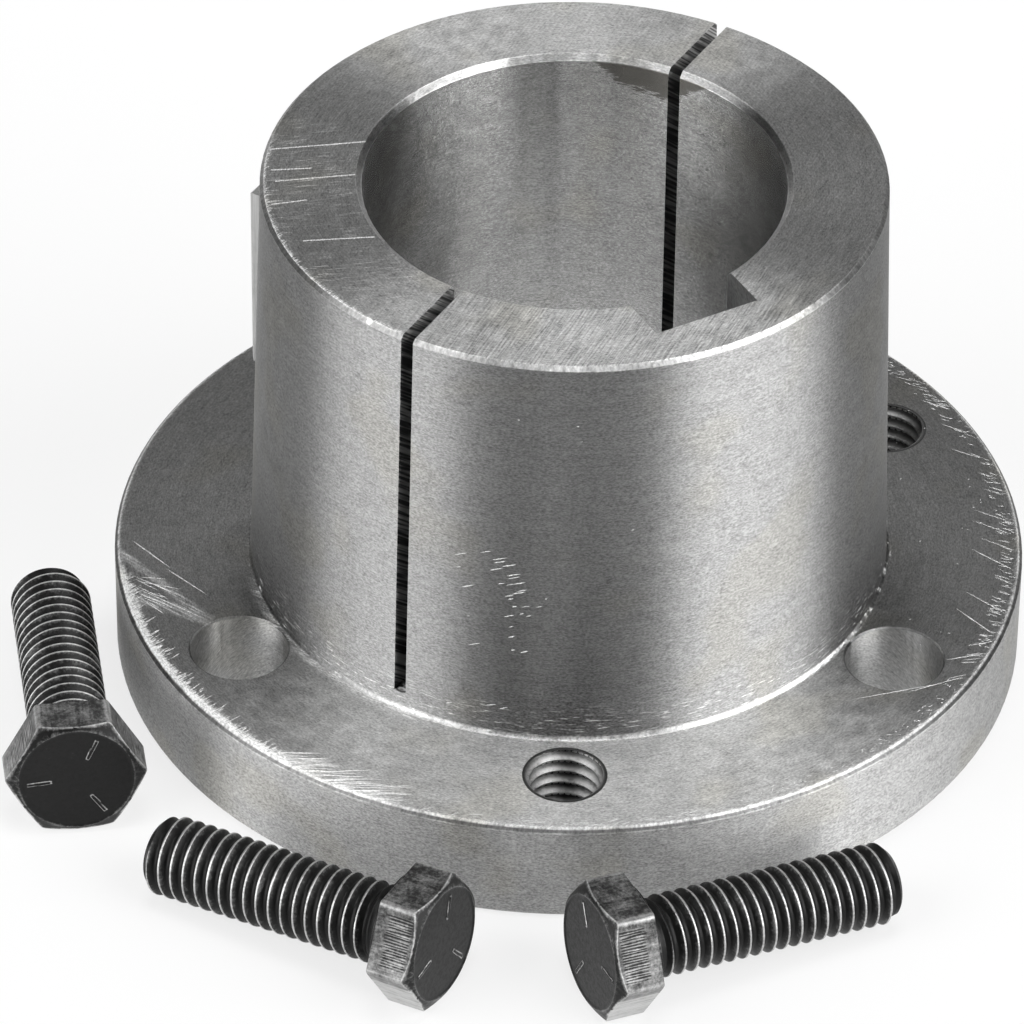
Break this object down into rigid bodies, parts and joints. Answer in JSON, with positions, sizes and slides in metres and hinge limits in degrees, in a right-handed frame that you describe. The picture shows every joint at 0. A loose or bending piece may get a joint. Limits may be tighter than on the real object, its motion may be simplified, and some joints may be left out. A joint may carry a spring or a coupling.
{
  "type": "flanged taper bushing",
  "caption": "Steel shaft bushing with a round drilled flange, a slotted tapered barrel, a keyed bore, an outside driving key and loose hex cap screws.",
  "frame": {"origin": "centre of the bore in the plane of the flange's flat back face, on which the bushing stands", "axes": "+Z along the bore's axis from the flange towards the barrel's small end; the keyway in the bore lies towards -Y; +X passes through one tapped hole"},
  "size_m": [0.1263, 0.12, 0.0635],
  "materials": {
    "turned_steel": "turned and ground steel, bare, with fine ring marks and light scratches",
    "key_steel": "cold drawn bar steel, satin",
    "black_oxide": "black oxide on steel, oiled, worn bright on thread crests and edges"
  },
  "bodies": {
    "root": {"bushing_body": "turned_steel", "external_key": "key_steel", "key_pin_upper": "key_steel", "key_pin_lower": "key_steel", "cap_screw_1": "black_oxide", "cap_screw_2": "black_oxide", "cap_screw_3": "black_oxide"}
  },
  "joints": []
}
